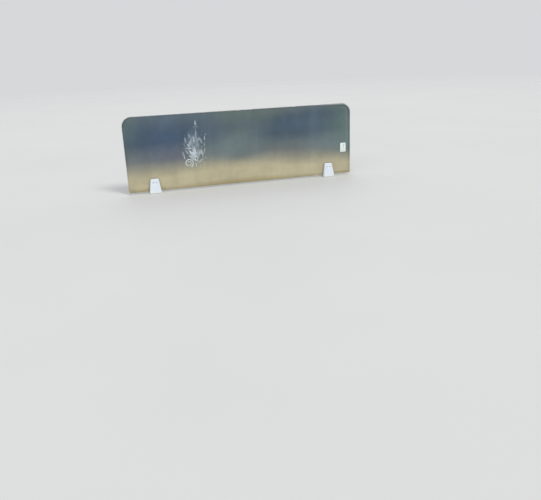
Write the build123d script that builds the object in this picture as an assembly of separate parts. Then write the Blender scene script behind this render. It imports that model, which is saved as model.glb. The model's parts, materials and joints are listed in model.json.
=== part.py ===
from build123d import *

# Desk privacy panel: a frosted toughened-glass pane held upright on a desktop by two clamp brackets.
#
# Frame: millimetres, +X along the pane, -Y towards the front user, +Z up. The origin is on the
# desktop, midway between the brackets, in the pane's mid-plane.
#
# Each bracket is a tapered die-cast foot with a slot for the pane. The pane stands on a setting
# block and leans on a rear pad. In front of it a pressure plate, with its own pad, sits in a pocket
# of the front jaw, and two grub screws through that jaw push the plate towards the pane.

import math
import os

# ---- pane ------------------------------------------------------------------------------------
PANE_LENGTH = 1000.0
PANE_TOP = 320.0  # top edge above the desktop
PANE_GAP = 6.0  # bottom edge above the desktop
PANE_THICKNESS = 8.0
PANE_TOP_RADIUS = 40.0
PANE_BOTTOM_RADIUS = 8.0
PANE_ARRIS = 1.0  # polished chamfer round both faces

# ---- film, label and ornament on the pane's front face -------------------------------------------
FILM_MARGIN = 1.0  # the film stops where the pane's arris starts
FILM_THICKNESS = 0.2
BOND = 0.05  # glue line under every film
DECAL_THICKNESS = 0.15
LABEL_WIDTH = 26.0
LABEL_HEIGHT = 40.0
LABEL_RADIUS = 2.0
LABEL_X = 465.0
LABEL_Z = 125.0
ORNAMENT_X = -200.0
ORNAMENT_Z = 100.0  # foot of the ornament's stem

# ---- brackets --------------------------------------------------------------------------------
BRACKET_X = 390.0  # bracket centres, each side of the middle
GASKET = 1.0  # rubber under each foot
GASKET_INSET = 1.0
BRACKET_TOP = 60.0
BASE_WIDTH = 52.0
BASE_DEPTH = 50.0
TOP_WIDTH = 34.0
TOP_DEPTH = 29.0
SLOT_FLOOR = 4.0  # metal under the pane reaches this height
JAW_SETBACK = 0.25  # the front jaw stands this far behind the plate's face
SIDE_RADIUS = 5.0
CROWN_RADIUS = 3.5
SLOT_EDGE_RADIUS = 0.8

# ---- clamp inside each bracket -------------------------------------------------------------------
PAD = 1.5  # rubber pads, front and rear
PLATE_WIDTH = 26.0
PLATE_HEIGHT = 26.0
PLATE_THICKNESS = 2.5
PLATE_Z = 42.0
PLATE_RADIUS = 2.0
FRONT_PAD_INSET = 0.5
POCKET_PLAY = 0.3  # clearance round the plate
RELEASE = 2.0  # how far the plate backs off
POCKET_END_PLAY = 0.1
REAR_PAD_WIDTH = 30.0
REAR_PAD_HEIGHT = 46.0
REAR_PAD_Z = 33.0
BLOCK_LENGTH = 40.0

# ---- M6 x 8 grub screws ------------------------------------------------------------------------
SCREW_LENGTH = 8.0
SCREW_RADIUS = 2.95
SCREW_HOLE_RADIUS = 3.0
SCREW_SPACING = 13.0
SCREW_Z = 45.0
THREAD_PITCH = 1.0
THREAD_DEPTH = 0.3
DOG_RADIUS = 1.9  # plain tip that turns in the plate's dimple
DOG_LENGTH = 0.5
DIMPLE_RADIUS = 2.2
SOCKET_FLATS = 3.0
SOCKET_DEPTH = 3.5
HOLE_COUNTERSINK = 0.4

# ---- M6 threaded holes for the desk bolts, at tapping size --------------------------------------------
FIXING_SPACING = 30.0
FIXING_RADIUS = 2.5
FIXING_DEPTH = 14.0
GASKET_HOLE_RADIUS = 3.5

# ---- distances from the pane's mid-plane, worked out -----------------------------------------------
FACE = PANE_THICKNESS / 2
FILM_FACE = FACE + BOND + FILM_THICKNESS
PLATE_FRONT = FILM_FACE + PAD  # the face that carries the front pad
PLATE_BACK = PLATE_FRONT + PLATE_THICKNESS
SLOT_FRONT = PLATE_FRONT + JAW_SETBACK
SLOT_REAR = FACE + PAD
POCKET_END = PLATE_BACK + RELEASE + POCKET_END_PLAY
SCREW_TIP = PLATE_BACK - DOG_LENGTH
SCREW_END = SCREW_TIP + SCREW_LENGTH
REACH = 200.0  # longer than a bracket, for cutting tools
CUT = 1.0  # how far a cutting tool starts outside the material
NEAR = 0.01  # edges this close to a height or a plane count as lying on it


def slab(outline, y_from, y_to):
    """Solid between two Y values from an outline drawn on Plane.XZ."""
    near = max(y_from, y_to)
    return extrude(Pos(0, near, 0) * outline, amount=abs(y_to - y_from), dir=(0, -1, 0))


def cylinder_y(radius, y_from, y_to, x, z):
    """Cylinder along Y between two Y values."""
    return slab(Plane.XZ * Pos(x, z) * Circle(radius), y_from, y_to)


def pane_outline(inset):
    """Outline of the pane, or of the film that stops short of its edge."""
    width = PANE_LENGTH - 2 * inset
    height = PANE_TOP - PANE_GAP - 2 * inset
    outline = Plane.XZ * Pos(0, (PANE_TOP + PANE_GAP) / 2) * Rectangle(width, height)
    outline = fillet(outline.vertices().group_by(Axis.Z)[-1], PANE_TOP_RADIUS - inset)
    return fillet(outline.vertices().group_by(Axis.Z)[0], PANE_BOTTOM_RADIUS - inset)


def rounded_plate(width, height, centre_z, y_from, y_to):
    """Plate across Y with rounded corners."""
    outline = Plane.XZ * Pos(0, centre_z) * RectangleRounded(width, height, PLATE_RADIUS)
    return slab(outline, y_from, y_to)


# ---- pane and what is stuck on it ------------------------------------------------------------------


def glass_pane():
    pane = slab(pane_outline(0), -FACE, FACE)
    rims = [edge for face in pane.faces().filter_by(Axis.Y) for edge in face.edges()]
    return chamfer(rims, PANE_ARRIS)


def frosted_film():
    return slab(pane_outline(FILM_MARGIN), -FACE - BOND, -FILM_FACE)


def blank_label():
    """Blank paper label near the pane's right-hand end."""
    outline = RectangleRounded(LABEL_WIDTH, LABEL_HEIGHT, LABEL_RADIUS)
    back = -FILM_FACE - BOND
    return slab(Plane.XZ * Pos(LABEL_X, LABEL_Z) * outline, back, back - DECAL_THICKNESS)


# ---- ornament: a leaf sprig with scrolls, cut from white film -------------------------------------------


# control points of one edge of a leaf: share of its length, share of its width to the side
BLADE_CURVE = [(0, 0), (0.25, 0.8), (0.6, 0.55), (1, 0)]
SLIT_START = 0.16  # share of the leaf's length
SLIT_LENGTH = 0.62  # share of the leaf's length
SLIT_WIDTH = 1.3
SLIT_BOW = 0.9  # share of the leaf's bow
SCROLL_THINNING = 0.7  # share of a scroll's width lost by its inner end
SCROLL_STEPS = 10  # spline points in each turn


def blade(foot, lean, length, width, bow=0.0):
    """Pointed leaf. lean is in degrees right of straight up; bow carries its tip to the right."""
    along = Vector(0, 1).rotate(Axis.Z, -lean)
    across = Vector(1, 0).rotate(Axis.Z, -lean)

    def point(run, side):
        sideways = side * width + bow * length * run**2
        return Vector(*foot) + along * (run * length) + across * sideways

    edges = []
    for side in (1, -1):
        controls = [point(run, side * reach) for run, reach in BLADE_CURVE]
        edges.append(Bezier(*controls))
    return make_face(edges)


def veined_leaf(foot, lean, length, width, bow):
    """Leaf with a slit along its middle."""
    along = Vector(0, 1).rotate(Axis.Z, -lean)
    start = Vector(*foot) + along * (SLIT_START * length)
    slit = blade((start.X, start.Y), lean, SLIT_LENGTH * length, SLIT_WIDTH, SLIT_BOW * bow)
    return blade(foot, lean, length, width, bow) - slit


def scroll(centre, outer, inner, start, turns, wide):
    """Spiral band that thins inwards. turns is positive counter-clockwise."""
    steps = round(abs(turns) * SCROLL_STEPS)

    def rim(side):
        for step in range(steps + 1):
            share = step / steps
            half_width = side * wide * (1 - SCROLL_THINNING * share) / 2
            radius = outer + (inner - outer) * share + half_width
            angle = math.radians(start + 360 * turns * share)
            yield (centre[0] + radius * math.cos(angle), centre[1] + radius * math.sin(angle))

    outside = list(rim(1))
    inside = list(rim(-1))
    ends = [Line(outside[-1], inside[-1]), Line(inside[0], outside[0])]
    return make_face([Spline(*outside), ends[0], Spline(*reversed(inside)), ends[1]])


# x and height of the foot, lean, length, width, bow
STEM = [
    (0, -14, 0, 150, 4.4, 0.0),
    (0, 84, 0, 78, 7.6, 0.0),
    (1.5, 165, 0, 27, 8.0, 0.0),
    (1, 161, -82, 14, 2.8, 0.08),
    (1, 161, 82, 14, 2.8, -0.08),
]
VEINED_LEAVES = [
    (-4, 34, -17, 62, 14, 0.06),
    (-24, 84, -9, 58, 14, 0.04),
    (4, 32, 8, 42, 11, -0.04),
    (-3, 20, -60, 44, 11, 0.16),
    (-5, 34, -50, 46, 12, 0.14),
    (4, 12, 58, 30, 9, -0.12),
    (12, 122, 154, 35, 9, 0.08),
]
LEAVES = [
    (-45, 97, -6, 27, 9.0, 0.02),
    (-28, 80, -46, 21, 9.0, 0.10),
    (-22, 73, -78, 31, 7.5, -0.06),
    (-38, 50, -24, 28, 6.0, -0.16),
    (-9, 96, -12, 30, 7.0, 0.10),
    (3, 96, 16, 28, 6.0, 0.10),
    (16, 45, 10, 28, 8.0, -0.06),
    (3, 94, 152, 18, 8.0, 0.10),
    (35, 102, 5, 24, 6.0, -0.06),
    (32, 78, 10, 22, 6.0, -0.06),
    (31, 48, 9, 28, 5.0, -0.06),
    (21, 30, 13, 34, 6.0, -0.08),
    (36, 22, 2, 25, 4.0, -0.10),
    (-55, 30, -2, 34, 4.0, -0.08),
    (-62, 42, 4, 26, 3.2, -0.06),
    (-51, 80, 12, 14, 3.0, -0.04),
    (8, -12, 18, 24, 4.0, -0.06),
    (-7, -8, -8, 26, 3.6, 0.06),
]
# centre, outer and inner radius, starting angle, turns, width
SCROLLS = [
    ((-38, 13), 19, 4.4, -62, 1.7, 4.6),
    ((-52, 92), 5, 1.6, 180, -1.1, 2.2),
    ((24, 6), 8, 2.0, 140, -1.3, 2.6),
    ((41, 128), 4.5, 1.6, 0, 1.1, 2.0),
]
BERRIES = [(-31, 146, 1.6), (23, 128, 1.7), (-49, 130, 1.4), (27, 142, 1.2), (-57, 76, 1.6), (22, 78, 2.0)]


def ornament_shapes():
    """The sprig's outlines, drawn about the foot of its stem."""
    for x, height, *shape in STEM + LEAVES:
        yield blade((x, height), *shape)
    for x, height, *shape in VEINED_LEAVES:
        yield veined_leaf((x, height), *shape)
    for spiral in SCROLLS:
        yield scroll(*spiral)
    for x, height, radius in BERRIES:
        yield Pos(x, height) * Circle(radius)


def ornament_decal():
    back = -FILM_FACE - BOND
    place = Plane.XZ * Pos(ORNAMENT_X, ORNAMENT_Z)
    cut_out = Sketch() + list(ornament_shapes())
    return slab(place * cut_out, back, back - DECAL_THICKNESS)


# ---- bracket ---------------------------------------------------------------------------------------


def tapered_bar(base, top, plane):
    """Bar through the bracket whose section, on the plane, narrows from base to top."""
    low = GASKET
    high = BRACKET_TOP
    corners = [(-base / 2, low), (base / 2, low), (top / 2, high), (-top / 2, high)]
    return extrude(plane * Polygon(*corners, align=None), amount=REACH / 2, both=True)


def bracket_body():
    """Tapered block with its upright corners and its crown rounded."""
    across = tapered_bar(BASE_DEPTH, TOP_DEPTH, Plane.YZ)
    body = (tapered_bar(BASE_WIDTH, TOP_WIDTH, Plane.XZ) & across).solid()
    level = body.edges().filter_by(Axis.X) + body.edges().filter_by(Axis.Y)
    body = fillet([edge for edge in body.edges() if edge not in level], SIDE_RADIUS)
    return fillet(body.faces().sort_by(Axis.Z)[-1].edges(), CROWN_RADIUS)


def cut_slot(body):
    """Slot for the pane, with its top edges eased."""
    middle = (SLOT_REAR - SLOT_FRONT) / 2
    half = (SLOT_REAR + SLOT_FRONT) / 2
    slot = Box(REACH, 2 * half, REACH, align=(Align.CENTER, Align.CENTER, Align.MIN))
    body -= Pos(0, middle, SLOT_FLOOR) * slot
    crown = body.edges().filter_by(Axis.X)
    crown = crown.filter_by_position(Axis.Z, BRACKET_TOP - NEAR, BRACKET_TOP + NEAR)
    lips = [edge for edge in crown if abs(abs(edge.center().Y - middle) - half) < NEAR]
    return fillet(lips, SLOT_EDGE_RADIUS)


def cut_pocket(body):
    """Pocket in the front jaw for the plate, and the two screw holes behind it."""
    width = PLATE_WIDTH + 2 * POCKET_PLAY
    height = PLATE_HEIGHT + 2 * POCKET_PLAY
    body -= rounded_plate(width, height, PLATE_Z, -SLOT_FRONT + CUT, -POCKET_END)
    for side in (-1, 1):
        x = side * SCREW_SPACING / 2
        body -= cylinder_y(SCREW_HOLE_RADIUS, -POCKET_END + CUT, -REACH, x, SCREW_Z)
    ovals = body.edges().filter_by(GeomType.ELLIPSE)
    mouths = [edge for edge in ovals if edge.center().Z > PLATE_Z and edge.length > 2 * SCREW_HOLE_RADIUS]
    return chamfer(mouths, HOLE_COUNTERSINK)


def bracket_casting():
    body = cut_pocket(cut_slot(bracket_body()))
    for side in (-1, 1):
        hole = Cylinder(FIXING_RADIUS, FIXING_DEPTH, align=(Align.CENTER, Align.CENTER, Align.MIN))
        body -= Pos(0, side * FIXING_SPACING / 2, GASKET) * hole
    return body


def base_gasket():
    width = BASE_WIDTH - 2 * GASKET_INSET
    outline = RectangleRounded(width, BASE_DEPTH - 2 * GASKET_INSET, SIDE_RADIUS)
    for side in (-1, 1):
        outline -= Pos(0, side * FIXING_SPACING / 2) * Circle(GASKET_HOLE_RADIUS)
    return extrude(outline, amount=GASKET)


def setting_block():
    height = PANE_GAP - SLOT_FLOOR
    return Pos(0, 0, SLOT_FLOOR + height / 2) * Box(BLOCK_LENGTH, PANE_THICKNESS, height)


def rear_pad():
    return rounded_plate(REAR_PAD_WIDTH, REAR_PAD_HEIGHT, REAR_PAD_Z, FACE, SLOT_REAR)


def front_pad():
    width = PLATE_WIDTH - 2 * FRONT_PAD_INSET
    height = PLATE_HEIGHT - 2 * FRONT_PAD_INSET
    return rounded_plate(width, height, PLATE_Z, -FILM_FACE, -PLATE_FRONT)


def pressure_plate():
    plate = rounded_plate(PLATE_WIDTH, PLATE_HEIGHT, PLATE_Z, -PLATE_FRONT, -PLATE_BACK)
    for side in (-1, 1):
        x = side * SCREW_SPACING / 2
        plate -= cylinder_y(DIMPLE_RADIUS, -SCREW_TIP, -PLATE_BACK - CUT, x, SCREW_Z)
    return plate


def grub_screw():
    """Socket grub screw along Y, its thread cut as rings, its dog point towards the pane."""
    root = SCREW_RADIUS - THREAD_DEPTH
    profile = [(0, -SCREW_TIP), (DOG_RADIUS, -SCREW_TIP), (DOG_RADIUS, -PLATE_BACK)]
    profile.append((root, -PLATE_BACK))
    for turn in range(int((SCREW_END - PLATE_BACK) / THREAD_PITCH)):
        valley = -PLATE_BACK - turn * THREAD_PITCH
        profile.append((SCREW_RADIUS, valley - THREAD_PITCH / 2))
        profile.append((root, valley - THREAD_PITCH))
    profile += [(root, -SCREW_END), (0, -SCREW_END)]
    screw = revolve(make_face(Polyline(*profile, close=True)), Axis.Y)
    socket = Plane.XZ * RegularPolygon(SOCKET_FLATS / 2, 6, major_radius=False)
    return screw - slab(socket, -SCREW_END + SOCKET_DEPTH, -SCREW_END - CUT)


# ---- assembly ----------------------------------------------------------------------------------------


def all_parts():
    parts = {
        "glass_pane": glass_pane(),
        "frosted_film": frosted_film(),
        "blank_label": blank_label(),
        "ornament_decal": ornament_decal(),
    }
    clamp = {
        "bracket_casting": bracket_casting(),
        "base_gasket": base_gasket(),
        "setting_block": setting_block(),
        "rear_pad": rear_pad(),
        "front_pad": front_pad(),
        "pressure_plate": pressure_plate(),
        "outer_grub_screw": Pos(SCREW_SPACING / 2, 0, SCREW_Z) * grub_screw(),
        "inner_grub_screw": Pos(-SCREW_SPACING / 2, 0, SCREW_Z) * grub_screw(),
    }
    for name, piece in clamp.items():
        parts[f"right_{name}"] = Pos(BRACKET_X, 0, 0) * piece
        parts[f"left_{name}"] = Pos(-BRACKET_X, 0, 0) * mirror(piece, about=Plane.YZ)
    return parts


os.makedirs("parts", exist_ok=True)
for node, shape in all_parts().items():
    export_step(shape, f"parts/{node}.step")
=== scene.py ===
import json
import math

import bmesh
import bpy
from mathutils import Matrix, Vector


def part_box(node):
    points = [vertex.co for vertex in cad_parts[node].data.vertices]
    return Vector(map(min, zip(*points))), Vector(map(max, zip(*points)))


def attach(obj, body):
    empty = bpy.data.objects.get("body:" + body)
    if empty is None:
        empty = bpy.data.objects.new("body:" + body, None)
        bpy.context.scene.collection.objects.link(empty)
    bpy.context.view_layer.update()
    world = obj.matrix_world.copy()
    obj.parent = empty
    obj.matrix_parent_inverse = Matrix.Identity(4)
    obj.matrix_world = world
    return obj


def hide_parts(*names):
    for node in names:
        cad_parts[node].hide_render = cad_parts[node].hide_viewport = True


# Looks of the desk privacy panel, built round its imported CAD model.
#
# Metres, in the CAD's own frame: +X along the pane, -Y towards the front user, +Z up, the origin
# on the desktop under the middle of the pane. The pane, its film and its label are finer meshes in
# place of their CAD solids. Every other CAD part stays and is given its material.

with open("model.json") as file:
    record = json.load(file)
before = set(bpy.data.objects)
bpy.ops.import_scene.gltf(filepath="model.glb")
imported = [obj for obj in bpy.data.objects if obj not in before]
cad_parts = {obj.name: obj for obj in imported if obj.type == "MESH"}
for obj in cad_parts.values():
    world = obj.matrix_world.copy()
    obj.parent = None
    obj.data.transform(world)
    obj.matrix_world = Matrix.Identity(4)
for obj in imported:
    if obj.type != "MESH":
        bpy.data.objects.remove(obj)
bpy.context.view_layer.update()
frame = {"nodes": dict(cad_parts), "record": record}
nodes = frame["nodes"]

MM = 0.001

# ---- colours, linear ---------------------------------------------------------------------------

GLASS_TINT = (0.94, 0.985, 0.965)
GLASS_ABSORPTION = (0.64, 0.85, 0.81)
GLASS_DENSITY = 5.0  # of the absorption
GLASS_SHADOW = (0.86, 0.93, 0.90)  # the light that the glass lets through into its shadow
FILM_SLATE = (0.080, 0.120, 0.155)
FILM_BLUE = (0.068, 0.108, 0.178)
FILM_SKY = (0.114, 0.162, 0.216)
FILM_GREEN = (0.128, 0.190, 0.174)
FILM_MOSS = (0.145, 0.190, 0.165)
FILM_MAUVE = (0.165, 0.176, 0.235)
FILM_MIST = (0.140, 0.180, 0.190)
FILM_PALE = (0.190, 0.250, 0.260)
FILM_SHADE = (0.098, 0.108, 0.100)
FILM_GREY = (0.190, 0.212, 0.212)
FILM_STONE = (0.330, 0.325, 0.258)
# painted warm glow low on the film, deepened at its very foot by painted shade
FILM_SAND_PAINTED_GLOW = (0.560, 0.505, 0.340)
FILM_FOOT_PAINTED_SHADE = (0.420, 0.355, 0.200)
# painted highlight and painted shade for the lines round the film's rim
RIM_PAINTED_HIGHLIGHT = (0.420, 0.480, 0.450)
RIM_PAINTED_SHADE = (0.030, 0.038, 0.036)
DECAL_WHITE = (0.68, 0.79, 0.84)
LABEL_INK = (0.20, 0.26, 0.25)
# painted warm bounce light on the brackets' feet
FOOT_PAINTED_BOUNCE = (0.72, 0.73, 0.69)

# the colours that a material's soft noise runs through
PAPER_STOPS = [(0.3, (0.74, 0.82, 0.78)), (0.7, (0.84, 0.91, 0.88))]
COAT_STOPS = [(0.3, (0.66, 0.72, 0.79)), (0.7, (0.71, 0.765, 0.83))]
RUBBER_STOPS = [(0.35, (0.016, 0.016, 0.017)), (0.75, (0.050, 0.050, 0.052))]
ZINC_STOPS = [(0.3, (0.72, 0.76, 0.82)), (0.5, (0.80, 0.81, 0.80)), (0.7, (0.84, 0.81, 0.74))]
FLOOR_STOPS = [(0.3, (0.65, 0.65, 0.645)), (0.7, (0.67, 0.67, 0.665))]

# ---- pane and brackets -------------------------------------------------------------------------

pane_low, pane_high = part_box("glass_pane")
PANE_FOOT = pane_low.z
PANE_TOP = pane_high.z
PANE_HALF_LENGTH = pane_high.x
PANE_TOP_RADIUS = 40 * MM
PANE_BOTTOM_RADIUS = 8 * MM
PANE_ARRIS = 1 * MM
bracket_low, bracket_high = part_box("right_bracket_casting")
BRACKET_X = (bracket_low.x + bracket_high.x) / 2
BRACKET_FOOT_WIDTH = bracket_high.x - bracket_low.x
BRACKET_TOP = bracket_high.z
BRACKET_TAPER = 9 / 59  # each side leans in 9 mm in the casting's 59 mm
FILM_BRACKET_SHADE_REACH = (0.5 * MM, 5 * MM)  # the painted shade on the film round a bracket fades out between these
FILM_BRACKET_SHADE_TONE = 0.80
FOOT_BOUNCE_HEIGHTS = (2 * MM, 20 * MM)  # the painted warm bounce light on a bracket's foot fades out between these
FOOT_BOUNCE_SHARE = 0.55

# ---- film --------------------------------------------------------------------------------------

film_low, film_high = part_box("frosted_film")
FILM_SPAN = (film_low.y, film_high.y)
FILM_THROUGH = 0.2  # share of the light that comes through the film
# the film's colour by share of the pane's height; low down it is a painted warm glow, with painted
# shade at the very foot
FILM_STOPS = [
    (0.025, FILM_FOOT_PAINTED_SHADE),
    (0.09, FILM_SAND_PAINTED_GLOW),
    (0.21, FILM_SAND_PAINTED_GLOW),
    (0.34, FILM_STONE),
    (0.45, FILM_GREY),
    (0.54, FILM_MIST),
    (0.66, FILM_SLATE),
    (0.88, FILM_SLATE),
    (0.98, FILM_MIST),
]
FILM_SWAY = 8 * MM  # the colours sway up and down by this much along the film
# where the sand rises or falls: place and reach as (x, z), and by how much
FILM_LIFTS = [
    ((-0.34, 0.13), (0.30, 0.20), 0.012),
    ((0.00, 0.13), (0.20, 0.20), -0.004),
    ((0.27, 0.13), (0.18, 0.20), 0.006),
    ((0.52, 0.13), (0.14, 0.20), 0.014),
]
# clouds of colour in the upper part: place and reach as (x, z), colour, strength
FILM_TINTS = [
    ((-0.33, 0.225), (0.20, 0.12), FILM_BLUE, 0.85),
    ((0.22, 0.250), (0.18, 0.12), FILM_BLUE, 0.25),
    ((-0.13, 0.270), (0.12, 0.12), FILM_SKY, 0.7),
    ((-0.28, 0.330), (0.24, 0.10), FILM_SKY, 0.8),
    ((0.33, 0.240), (0.12, 0.16), FILM_SKY, 0.5),
    ((0.50, 0.190), (0.17, 0.26), FILM_GREEN, 0.95),
    ((-0.49, 0.290), (0.08, 0.10), FILM_GREEN, 0.6),
    ((-0.40, 0.285), (0.14, 0.05), FILM_SKY, 0.4),
    ((0.02, 0.310), (0.26, 0.08), FILM_MOSS, 0.8),
    ((0.00, 0.200), (0.16, 0.22), FILM_MIST, 0.8),
    ((-0.05, 0.160), (0.18, 0.11), FILM_PALE, 0.65),
    ((0.42, 0.145), (0.17, 0.08), FILM_PALE, 0.7),
    ((0.49, 0.220), (0.045, 0.30), FILM_PALE, 0.5),
    ((-0.30, 0.150), (0.22, 0.07), FILM_MAUVE, 0.5),
    ((-0.505, 0.160), (0.030, 0.10), FILM_SHADE, 0.6),
]
FILM_TINTS_FROM = (0.09, 0.14)  # the clouds set in between these heights
CLOUD_TONES = (0.92, 1.08)
STREAK_TONES = (0.97, 1.03)
SPECKLE_TONES = (0.97, 1.03)

# A dark line of painted edge shade runs round the film. Towards the right end it moves in and
# darkens, and bands of painted highlight show on either side of it.
RIGHT_END = (0.28, 0.44)  # the right end's look sets in between these, along x
DARK_LINE = 4 * MM  # how far in the dark line runs
DARK_LINE_RIGHT = 9 * MM  # how far in it runs at the right end
DARK_LINE_REACH = 4 * MM
DARK_LINE_STRENGTH = 0.12
DARK_LINE_RIGHT_STRENGTH = 0.22  # added at the right end
DARK_LINE_CORNER_STRENGTH = 0.40  # added at both top corners
TOP_CORNER = (0.485, 0.303)
TOP_CORNER_REACH = (0.055, 0.055)
OUTER_BAND = (4 * MM, 7 * MM)  # the outer light band fades out between these, from the rim in
OUTER_BAND_FROM = (0.29, 0.31)  # it sets in between these heights
OUTER_BAND_STRENGTH = 0.45
INNER_BAND = 15 * MM  # how far in the inner light band runs
INNER_BAND_REACH = 4 * MM
INNER_BAND_FROM = (0.46, 0.48)  # it sets in between these, along x
INNER_BAND_STRENGTH = 0.16

# ---- ornament ----------------------------------------------------------------------------------

ornament_low, ornament_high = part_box("ornament_decal")
ORNAMENT_X = (ornament_low.x + ornament_high.x) / 2
# white haze on the film behind the ornament, as (x, z)
HAZE_PLACE = (ORNAMENT_X - 0.006, 0.185)
HAZE_REACH = (0.040, 0.086)
HAZE_SHARES = (0.12, 0.38)
STEM_REACH = (2 * MM, 6 * MM)  # the decal is denser along the stem, out to here
STEM_SHARE = 0.24
PATCH_SHARES = (0.12, 0.47)
SPECK_SHARES = (-0.06, 0.06)
MOST_COVER = 0.92
# where the decal is denser or thinner: place and reach as (x, z), and by how much
DECAL_SHARES = [
    ((-0.240, 0.118), (0.050, 0.040), 0.54),
    ((-0.222, 0.152), (0.020, 0.026), 0.14),
    ((-0.190, 0.100), (0.034, 0.026), -0.22),
    ((-0.230, 0.165), (0.034, 0.040), 0.16),
    ((-0.235, 0.225), (0.034, 0.045), -0.16),
    ((-0.165, 0.190), (0.030, 0.080), -0.10),
    ((-0.200, 0.262), (0.030, 0.010), -0.20),
    ((-0.155, 0.130), (0.030, 0.050), -0.14),
]

# ---- label -------------------------------------------------------------------------------------

label_low, label_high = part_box("blank_label")
LABEL_X = (label_low.x + label_high.x) / 2
LABEL_Z = (label_low.z + label_high.z) / 2
LABEL_RADIUS = 2 * MM
LABEL_HELD = 0.45  # the share of the way to its loose corner that is stuck down
LABEL_PEEL = 1.6 * MM  # how far the loose corner stands off
INK_BLUR = 0.2 * MM
# printed bars: the middle's x and z from the label's own, half width, half height, strength
LABEL_BARS = [
    (4.0 * MM, 12.0 * MM, 4.0 * MM, 3.0 * MM, 0.40),
    (2.0 * MM, 3.0 * MM, 1.6 * MM, 4.5 * MM, 0.60),
    (-5.0 * MM, 6.0 * MM, 3.5 * MM, 0.6 * MM, 0.25),
    (0.0 * MM, -5.0 * MM, 9.0 * MM, 0.6 * MM, 0.30),
    (-1.5 * MM, -8.0 * MM, 7.5 * MM, 0.6 * MM, 0.30),
    (0.0 * MM, -14.0 * MM, 9.0 * MM, 1.8 * MM, 0.40),
]

# ---- shader nodes ------------------------------------------------------------------------------

NOISE = (0.3, 0.7)  # nearly all of a noise's values lie in here
MID_NOISE = (0.35, 0.65)  # and most of them in here
RISE = (0.0, 1.0)
FALL = (1.0, 0.0)


class Shader:
    """A material's node tree, written from its output back."""

    def __init__(self, name):
        self.material = bpy.data.materials.new(name)
        self.material.use_nodes = True
        self.tree = self.material.node_tree
        self.tree.nodes.clear()
        self.output = self.tree.nodes.new("ShaderNodeOutputMaterial")
        self.coordinates = None

    def node(self, kind, inputs=None, **settings):
        made = self.tree.nodes.new("ShaderNode" + kind)
        for key, value in settings.items():
            setattr(made, key, value)
        for key, value in (inputs or {}).items():
            self.put(made.inputs[key], value)
        return made

    def put(self, socket, value):
        """Sets a socket to a value, or links it when the value is another node's socket."""
        if isinstance(value, bpy.types.NodeSocket):
            self.tree.links.new(value, socket)
        elif isinstance(value, tuple) and len(value) == 3 and socket.type == "RGBA":
            socket.default_value = (*value, 1.0)
        else:
            socket.default_value = value

    def place(self):
        """Where a point is in the shared frame, in metres."""
        if self.coordinates is None:
            self.coordinates = self.node("TexCoord").outputs["Object"]
        return self.coordinates

    def axes(self):
        return self.node("SeparateXYZ", {"Vector": self.place()}).outputs

    def math(self, operation, first, second=0.0, third=0.0):
        return self.node("Math", {0: first, 1: second, 2: third}, operation=operation).outputs[0]

    def product(self, first, *rest):
        for value in rest:
            first = self.math("MULTIPLY", first, value)
        return first

    def total(self, first, *rest):
        for value in rest:
            first = self.math("ADD", first, value)
        return first

    def gap(self, first, second):
        """How far apart two values are."""
        return self.math("ABSOLUTE", self.math("SUBTRACT", first, second))

    def length(self, vector):
        return self.node("VectorMath", {0: vector}, operation="LENGTH").outputs["Value"]

    def fade(self, value, span, results=RISE):
        """Smooth step from the first result to the second as the value crosses the span."""
        inputs = dict(enumerate((value, *span, *results)))
        return self.node("MapRange", inputs, interpolation_type="SMOOTHSTEP").outputs[0]

    def scale(self, colour, factor):
        return self.node("VectorMath", {0: colour, 1: factor}, operation="MULTIPLY").outputs[0]

    def mix(self, share, first, second):
        """The first colour, covered by a share of the second."""
        inputs = {0: share, 6: first, 7: second}  # 6 and 7 are the node's colours
        return self.node("Mix", inputs, data_type="RGBA").outputs[2]

    def noise(self, scale, detail, roughness, stretch=(1.0, 1.0, 1.0)):
        """Soft noise, its scale in blobs a metre, drawn out along an axis by a small stretch."""
        mapping = self.node("Mapping", {"Vector": self.place(), "Scale": stretch})
        inputs = {
            "Vector": mapping.outputs[0],
            "Scale": scale,
            "Detail": detail,
            "Roughness": roughness,
        }
        return self.node("TexNoise", inputs).outputs[0]

    def patch(self, centre, reach):
        """1 at a place on the pane, given as (x, z), fading to 0 at its reach along x and z."""
        inputs = {
            "Vector": self.place(),
            "Location": (-centre[0] / reach[0], 0.0, -centre[1] / reach[1]),
            "Scale": (1 / reach[0], 0.0, 1 / reach[1]),
        }
        return self.fade(self.length(self.node("Mapping", inputs).outputs[0]), FALL)

    def ramp(self, value, stops):
        made = self.node("ValToRGB", {"Fac": value})
        elements = made.color_ramp.elements
        while len(elements) < len(stops):
            elements.new(0.5)
        for element, (position, colour) in zip(elements, stops):
            element.position = position
            element.color = (*colour, 1.0)
        return made.outputs[0]

    def bump(self, height, depth):
        return self.node("Bump", {"Height": height, "Distance": depth}).outputs[0]

    def finish(self, surface, volume=None):
        self.put(self.output.inputs["Surface"], surface.outputs[0])
        if volume:
            self.put(self.output.inputs["Volume"], volume.outputs[0])
        return self.material


# ---- materials ---------------------------------------------------------------------------------


def clear_glass():
    """Toughened float glass: a green tint that shows at its edges, and faint finger marks."""
    shader = Shader("clear_glass")
    inputs = {
        "Base Color": GLASS_TINT,
        "Roughness": shader.fade(shader.noise(9.0, 5.0, 0.6), (0.50, 0.75), (0.0, 0.06)),
        "IOR": 1.52,
        "Transmission Weight": 1.0,
    }
    glass = shader.node("BsdfPrincipled", inputs)
    clear = shader.node("BsdfTransparent", {"Color": GLASS_SHADOW})
    shadow_ray = shader.node("LightPath").outputs["Is Shadow Ray"]
    mixed = shader.node("MixShader", {0: shadow_ray, 1: glass.outputs[0], 2: clear.outputs[0]})
    inputs = {"Color": GLASS_ABSORPTION, "Density": GLASS_DENSITY}
    return shader.finish(mixed, shader.node("VolumeAbsorption", inputs))


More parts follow.
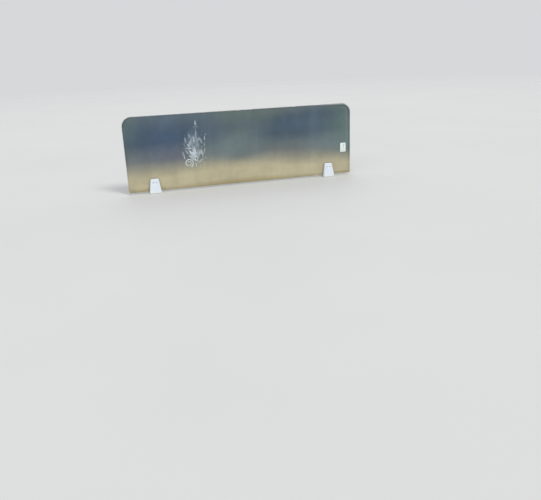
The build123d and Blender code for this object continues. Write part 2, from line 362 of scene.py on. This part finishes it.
def film_tint(shader):
    """The film's colour: slate above and a painted warm glow of sand below, the join swaying, the
    upper part clouded.
    """
    height = shader.axes()["Z"]
    sway = shader.fade(shader.noise(4.0, 2.0, 0.45), NOISE, (-FILM_SWAY, FILM_SWAY))
    lifts = [shader.product(shader.patch(*place), lift) for *place, lift in FILM_LIFTS]
    share = shader.math("DIVIDE", shader.total(height, sway, *lifts), PANE_TOP)
    # the sand low down is painted warm glow, and its darker foot painted shade
    colour = shader.ramp(share, FILM_STOPS)
    upper = shader.fade(height, FILM_TINTS_FROM)
    for *place, tint, strength in FILM_TINTS:
        cover = shader.product(shader.patch(*place), shader.product(upper, strength))
        colour = shader.mix(cover, colour, tint)
    cloud = shader.fade(shader.noise(11.0, 4.0, 0.6), NOISE, CLOUD_TONES)
    streak = shader.fade(shader.noise(26.0, 3.0, 0.5, (1.0, 1.0, 0.12)), NOISE, STREAK_TONES)
    return shader.scale(colour, shader.product(cloud, streak))


def rim_distance(shader):
    """How far a point of the pane's face lies inside its outline, in metres."""
    axes = shader.axes()
    middle = (PANE_FOOT + PANE_TOP) / 2
    rise = shader.math("SUBTRACT", axes["Z"], middle)
    above = shader.math("GREATER_THAN", rise, 0.0)
    bend = PANE_TOP_RADIUS - PANE_BOTTOM_RADIUS
    radius = shader.math("MULTIPLY_ADD", above, bend, PANE_BOTTOM_RADIUS)
    over = []
    for socket, half in ((axes["X"], PANE_HALF_LENGTH), (rise, PANE_TOP - middle)):
        inset = shader.math("SUBTRACT", half, radius)
        over.append(shader.math("SUBTRACT", shader.math("ABSOLUTE", socket), inset))
    outside = [shader.math("MAXIMUM", value) for value in over]
    corner = shader.length(shader.node("CombineXYZ", dict(enumerate(outside))).outputs[0])
    inside = shader.math("MINIMUM", shader.math("MAXIMUM", *over))
    return shader.math("SUBTRACT", shader.math("SUBTRACT", radius, corner), inside)


def bracket_distance(shader):
    """How far a point of the pane's face lies outside the nearest bracket's outline, in metres."""
    axes = shader.axes()
    along = shader.math("SUBTRACT", shader.math("ABSOLUTE", axes["X"]), BRACKET_X)
    half = shader.math("MULTIPLY_ADD", axes["Z"], -BRACKET_TAPER, BRACKET_FOOT_WIDTH / 2)
    beside = shader.math("SUBTRACT", shader.math("ABSOLUTE", along), half)
    over = shader.math("SUBTRACT", axes["Z"], BRACKET_TOP)
    return shader.math("MAXIMUM", beside, over)


def film_rim(shader, colour):
    """The film's colour with the dark line of painted edge shade round it and the bands of painted
    highlight at its right end.
    """
    rim = rim_distance(shader)
    axes = shader.axes()
    right = shader.fade(axes["X"], RIGHT_END)
    x, z = TOP_CORNER
    corners = shader.total(*(shader.patch((side * x, z), TOP_CORNER_REACH) for side in (-1, 1)))
    inset = shader.math("MULTIPLY_ADD", right, DARK_LINE_RIGHT - DARK_LINE, DARK_LINE)
    line = shader.fade(shader.gap(rim, inset), (0.0, DARK_LINE_REACH), FALL)
    strength = shader.total(
        shader.product(right, DARK_LINE_RIGHT_STRENGTH),
        shader.product(corners, DARK_LINE_CORNER_STRENGTH),
        DARK_LINE_STRENGTH,
    )
    # the dark line is painted edge shade
    colour = shader.mix(shader.product(line, strength), colour, RIM_PAINTED_SHADE)
    outer = shader.product(
        shader.fade(rim, OUTER_BAND, FALL),
        right,
        shader.fade(axes["Z"], OUTER_BAND_FROM, (0.0, OUTER_BAND_STRENGTH)),
    )
    inner = shader.product(
        shader.fade(shader.gap(rim, INNER_BAND), (0.0, INNER_BAND_REACH), FALL),
        shader.fade(axes["X"], INNER_BAND_FROM, (0.0, INNER_BAND_STRENGTH)),
    )
    # the light bands are painted highlights
    return shader.mix(shader.total(outer, inner), colour, RIM_PAINTED_HIGHLIGHT)


def frosted_film():
    """Satin frosted film: graded down to a painted warm glow, lined round its rim with painted
    edge shade and highlights, with painted shade by the brackets, finely grained.
    """
    shader = Shader("frosted_film")
    colour = film_rim(shader, film_tint(shader))
    # painted shade on the film round each bracket, darkest next to it
    painted_light = shader.fade(bracket_distance(shader), FILM_BRACKET_SHADE_REACH, (FILM_BRACKET_SHADE_TONE, 1.0))
    colour = shader.scale(colour, painted_light)
    haze = shader.product(
        shader.patch(HAZE_PLACE, HAZE_REACH),
        shader.fade(shader.axes()["Y"], FILM_SPAN, FALL),  # none on the film's back
        shader.fade(shader.noise(70.0, 4.0, 0.7), NOISE, HAZE_SHARES),
    )
    colour = shader.mix(haze, colour, DECAL_WHITE)
    speckle = shader.fade(shader.noise(1500.0, 3.0, 0.7), MID_NOISE, SPECKLE_TONES)
    colour = shader.scale(colour, speckle)
    inputs = {
        "Base Color": colour,
        "Roughness": shader.fade(shader.noise(14.0, 5.0, 0.6), (0.35, 0.7), (0.62, 0.46)),
        "Specular IOR Level": 0.3,
        "Normal": shader.bump(shader.noise(1400.0, 2.0, 0.6), 0.04 * MM),
    }
    face = shader.node("BsdfPrincipled", inputs)
    through = shader.node("BsdfTranslucent", {"Color": colour})
    inputs = {0: FILM_THROUGH, 1: face.outputs[0], 2: through.outputs[0]}
    return shader.finish(shader.node("MixShader", inputs))


def white_decal():
    """White film over the tint, printed unevenly so that the tint shows through in patches."""
    shader = Shader("white_decal")
    stem = shader.gap(shader.axes()["X"], ORNAMENT_X)
    cover = shader.total(
        shader.fade(stem, STEM_REACH, (STEM_SHARE, 0.0)),
        shader.fade(shader.noise(48.0, 4.0, 0.7), (0.36, 0.66), PATCH_SHARES),
        shader.fade(shader.noise(240.0, 2.0, 0.6), MID_NOISE, SPECK_SHARES),
        *(shader.product(shader.patch(*place), share) for *place, share in DECAL_SHARES),
    )
    cover = shader.math("MINIMUM", cover, MOST_COVER)
    inputs = {
        "Base Color": shader.mix(cover, film_tint(shader), DECAL_WHITE),
        "Roughness": 0.5,
        "Normal": shader.bump(shader.noise(900.0, 2.0, 0.5), 0.03 * MM),
    }
    return shader.finish(shader.node("BsdfPrincipled", inputs))


def label_paper():
    """White paper with a few grey printed bars and no lettering."""
    shader = Shader("label_paper")
    axes = shader.axes()
    fibre = shader.noise(2200.0, 4.0, 0.7, (1.0, 1.0, 0.4))
    blotch = shader.fade(shader.noise(90.0, 3.0, 0.6), NOISE, (0.93, 1.0))
    colour = shader.scale(shader.ramp(fibre, PAPER_STOPS), blotch)
    for x, z, half_width, half_height, strength in LABEL_BARS:
        aside = shader.gap(axes["X"], LABEL_X + x)
        above = shader.gap(axes["Z"], LABEL_Z + z)
        wide = shader.fade(aside, (half_width, half_width + INK_BLUR), (strength, 0.0))
        tall = shader.fade(above, (half_height, half_height + INK_BLUR), FALL)
        colour = shader.mix(shader.product(wide, tall), colour, LABEL_INK)
    inputs = {"Base Color": colour, "Roughness": 0.8, "Normal": shader.bump(fibre, 0.03 * MM)}
    return shader.finish(shader.node("BsdfPrincipled", inputs))


def white_powder_coat():
    """Bluish white powder coat: orange peel, and creamier towards the foot with painted warm
    bounce light.
    """
    shader = Shader("white_powder_coat")
    tone = shader.noise(60.0, 3.0, 0.5)
    # painted warm bounce light, strongest at the foot
    painted_light = shader.fade(shader.axes()["Z"], FOOT_BOUNCE_HEIGHTS, (FOOT_BOUNCE_SHARE, 0.0))
    inputs = {
        "Base Color": shader.mix(painted_light, shader.ramp(tone, COAT_STOPS), FOOT_PAINTED_BOUNCE),
        "Roughness": shader.fade(tone, NOISE, (0.30, 0.42)),
        "Normal": shader.bump(shader.noise(1100.0, 2.0, 0.5), 0.16 * MM),
    }
    return shader.finish(shader.node("BsdfPrincipled", inputs))


def black_rubber():
    """Matt black rubber with a dry, dusty bloom."""
    shader = Shader("black_rubber")
    bloom = shader.noise(220.0, 4.0, 0.6)
    inputs = {
        "Base Color": shader.ramp(bloom, RUBBER_STOPS),
        "Roughness": shader.fade(bloom, NOISE, (0.62, 0.85)),
        "Normal": shader.bump(shader.noise(1600.0, 2.0, 0.5), 0.05 * MM),
    }
    return shader.finish(shader.node("BsdfPrincipled", inputs))


def zinc_plated_steel():
    """Bright zinc plate with faint passivation colours."""
    shader = Shader("zinc_plated_steel")
    tone = shader.noise(380.0, 4.0, 0.6)
    inputs = {
        "Base Color": shader.ramp(tone, ZINC_STOPS),
        "Metallic": 1.0,
        "Roughness": shader.fade(tone, NOISE, (0.22, 0.42)),
        "Normal": shader.bump(shader.noise(2600.0, 3.0, 0.6), 0.02 * MM),
    }
    return shader.finish(shader.node("BsdfPrincipled", inputs))


MATERIALS = {
    "clear_glass": clear_glass(),
    "frosted_film": frosted_film(),
    "white_decal": white_decal(),
    "label_paper": label_paper(),
    "white_powder_coat": white_powder_coat(),
    "black_rubber": black_rubber(),
    "zinc_plated_steel": zinc_plated_steel(),
}

# ---- pieces ------------------------------------------------------------------------------------

CORNER_STEPS = 24  # segments in a quarter circle
ARRIS_STEPS = 3
SHARP_ANGLE = 32  # degrees; a sharper bend between faces is shaded as an edge
LABEL_EDGE_STEPS = 6
LABEL_COLUMNS = 16
LABEL_ROWS = 22


def new_piece(name, shape):
    mesh = bpy.data.meshes.new(name)
    shape.to_mesh(mesh)
    shape.free()
    mesh.shade_smooth()
    mesh.set_sharp_from_angle(angle=math.radians(SHARP_ANGLE))
    piece = bpy.data.objects.new(name, mesh)
    bpy.context.scene.collection.objects.link(piece)
    return piece


def stand_for(piece, node, slot):
    """Puts a piece in the place of a CAD node. All three such nodes are on the frame."""
    piece.data.materials.append(MATERIALS[slot])
    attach(piece, "frame")
    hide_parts(node)


def rounded_outline(low, high, bottom_radius, top_radius):
    """Points round an upright rectangle, counter-clockwise from -Y, as (x, z)."""
    corners = [
        (high.x - bottom_radius, low.z + bottom_radius, bottom_radius, -90),
        (high.x - top_radius, high.z - top_radius, top_radius, 0),
        (low.x + top_radius, high.z - top_radius, top_radius, 90),
        (low.x + bottom_radius, low.z + bottom_radius, bottom_radius, 180),
    ]
    points = []
    for x, z, radius, start in corners:
        for step in range(CORNER_STEPS + 1):
            angle = math.radians(start + 90 * step / CORNER_STEPS)
            points.append((x + radius * math.cos(angle), z + radius * math.sin(angle)))
    return points


def upright_sheet(name, outline, front, back, rounding=0.0):
    """Flat sheet across Y, its rims rounded if a rounding is given."""
    shape = bmesh.new()
    near, far = ([shape.verts.new((x, y, z)) for x, z in outline] for y in (front, back))
    rims = [edge for ring in (near, far) for edge in shape.faces.new(ring).edges]
    for index in range(len(outline)):
        shape.faces.new((near[index - 1], near[index], far[index], far[index - 1]))
    bmesh.ops.recalc_face_normals(shape, faces=shape.faces)
    if rounding:
        bmesh.ops.bevel(
            shape, geom=rims, offset=rounding, segments=ARRIS_STEPS, profile=0.5, affect="EDGES"
        )
    return new_piece(name, shape)


def pane():
    outline = rounded_outline(pane_low, pane_high, PANE_BOTTOM_RADIUS, PANE_TOP_RADIUS)
    sheet = upright_sheet("clear_pane", outline, pane_low.y, pane_high.y, PANE_ARRIS)
    stand_for(sheet, "glass_pane", "clear_glass")


def film():
    margin = film_low.x - pane_low.x
    radii = (PANE_BOTTOM_RADIUS - margin, PANE_TOP_RADIUS - margin)
    outline = rounded_outline(film_low, film_high, *radii)
    stand_for(upright_sheet("graded_film", outline, *FILM_SPAN), "frosted_film", "frosted_film")


def spaced(half, steps):
    """Numbers from -half to half, with finer steps within the label's radius of each end."""
    edge = [LABEL_RADIUS * step / LABEL_EDGE_STEPS for step in range(LABEL_EDGE_STEPS + 1)]
    span = 2 * (half - LABEL_RADIUS)
    values = [-half + step for step in edge[:-1]]
    values += [-half + LABEL_RADIUS + span * step / steps for step in range(steps)]
    return values + [half - LABEL_RADIUS + step for step in edge]


def rounded_corner(column, row, half_x, half_z):
    """A grid point of the label, from its middle, moved so that the label's corners are round."""
    across = max(0.0, abs(column) - (half_x - LABEL_RADIUS)) / LABEL_RADIUS
    up = max(0.0, abs(row) - (half_z - LABEL_RADIUS)) / LABEL_RADIUS
    if not (across and up):
        return column, row
    x = half_x - LABEL_RADIUS * (1 - across * math.sqrt(1 - up * up / 2))
    z = half_z - LABEL_RADIUS * (1 - up * math.sqrt(1 - across * across / 2))
    return math.copysign(x, column), math.copysign(z, row)


def grid_rims(grid):
    """The four sides of a grid of vertices."""
    return [line[0] for line in grid], [line[-1] for line in grid], grid[0], grid[-1]


def label():
    """Paper label with rounded corners, its lower right corner peeling away a little."""
    half_x = (label_high.x - label_low.x) / 2
    half_z = (label_high.z - label_low.z) / 2
    columns = spaced(half_x, LABEL_COLUMNS)
    rows = spaced(half_z, LABEL_ROWS)
    shape = bmesh.new()

    def vertex(column, row, y):
        x, z = rounded_corner(column, row, half_x, half_z)
        peel = max(0.0, (x / half_x - z / half_z) / 2 - LABEL_HELD) / (1 - LABEL_HELD)
        return shape.verts.new((LABEL_X + x, y - LABEL_PEEL * peel**2, LABEL_Z + z))

    front, back = (
        [[vertex(column, row, y) for column in columns] for row in rows]
        for y in (label_low.y, label_high.y)
    )
    strips = [pair for grid in (front, back) for pair in zip(grid, grid[1:])]
    strips += zip(grid_rims(front), grid_rims(back))
    for near, far in strips:
        for index in range(len(near) - 1):
            shape.faces.new((near[index], near[index + 1], far[index + 1], far[index]))
    bmesh.ops.recalc_face_normals(shape, faces=shape.faces)
    stand_for(new_piece("paper_label", shape), "blank_label", "label_paper")


pane()
film()
label()
for subpart in frame["record"]["subparts"]:
    mesh = nodes[subpart["node"]].data
    mesh.materials.clear()
    mesh.materials.append(MATERIALS[subpart["material_slot"]])

# ---- stage, lights and camera ------------------------------------------------------------------

FLOOR_REACH = 14.0
FLOOR_SIDES = 96
FLOOR_FADE = (3.0, 0.9 * FLOOR_REACH)  # the floor fades out between these distances
SKY_COLOUR = (0.96, 0.98, 1.0, 1.0)
SKY_STRENGTH = 0.70
# name, azimuth (0 shines from the front, 90 from the right), elevation and width in degrees,
# strength, colour
LIGHTS = [
    ("key", 30, 50, 20, 1.38, (1.0, 0.985, 0.96)),
    ("fill", -40, 22, 40, 0.45, (0.95, 0.975, 1.0)),
    ("back", 165, 40, 40, 0.20, (1.0, 1.0, 1.0)),
]
CAMERA_PLACE = (-0.574, -2.517, 0.530)
CAMERA_HEADING = 15.1  # degrees from +Y towards +X
CAMERA_DIP = 18.1  # degrees below level
CAMERA_ROLL = -2.45
CAMERA_LENS = 39.38
CAMERA_SENSOR = 36.0


def floor_paint():
    """Pale floor that fades into the surroundings far from the object."""
    shader = Shader("pale_floor")
    tone = shader.ramp(shader.noise(1.3, 3.0, 0.5), FLOOR_STOPS)
    inputs = {"Base Color": tone, "Roughness": 0.6, "Specular IOR Level": 0.2}
    paint = shader.node("BsdfPrincipled", inputs)
    away = shader.node("BsdfTransparent")
    far = shader.fade(shader.length(shader.place()), FLOOR_FADE)
    inputs = {0: far, 1: paint.outputs[0], 2: away.outputs[0]}
    return shader.finish(shader.node("MixShader", inputs))


def floor():
    shape = bmesh.new()
    bmesh.ops.create_circle(shape, cap_ends=True, segments=FLOOR_SIDES, radius=FLOOR_REACH)
    piece = new_piece("floor", shape)
    piece.data.materials.append(floor_paint())


def surroundings():
    world = bpy.data.worlds.new("studio")
    bpy.context.scene.world = world
    world.use_nodes = True
    background = world.node_tree.nodes["Background"]
    background.inputs["Color"].default_value = SKY_COLOUR
    background.inputs["Strength"].default_value = SKY_STRENGTH


def turned(degrees, axis):
    return Matrix.Rotation(math.radians(degrees), 4, axis)


def soft_light(name, azimuth, elevation, width, strength, colour):
    """Broad, far light."""
    light = bpy.data.lights.new(name, "SUN")
    light.angle = math.radians(width)
    light.energy = strength
    light.color = colour
    made = bpy.data.objects.new(name, light)
    bpy.context.scene.collection.objects.link(made)
    made.matrix_world = turned(azimuth, "Z") @ turned(90 - elevation, "X")


def camera():
    data = bpy.data.cameras.new("camera")
    data.lens = CAMERA_LENS
    data.sensor_width = CAMERA_SENSOR
    made = bpy.data.objects.new("camera", data)
    bpy.context.scene.collection.objects.link(made)
    aim = turned(-CAMERA_HEADING, "Z") @ turned(90 - CAMERA_DIP, "X") @ turned(CAMERA_ROLL, "Z")
    made.matrix_world = Matrix.Translation(CAMERA_PLACE) @ aim
    bpy.context.scene.camera = made


floor()
surroundings()
for light in LIGHTS:
    soft_light(*light)
camera()
bpy.context.scene.view_settings.view_transform = "Standard"
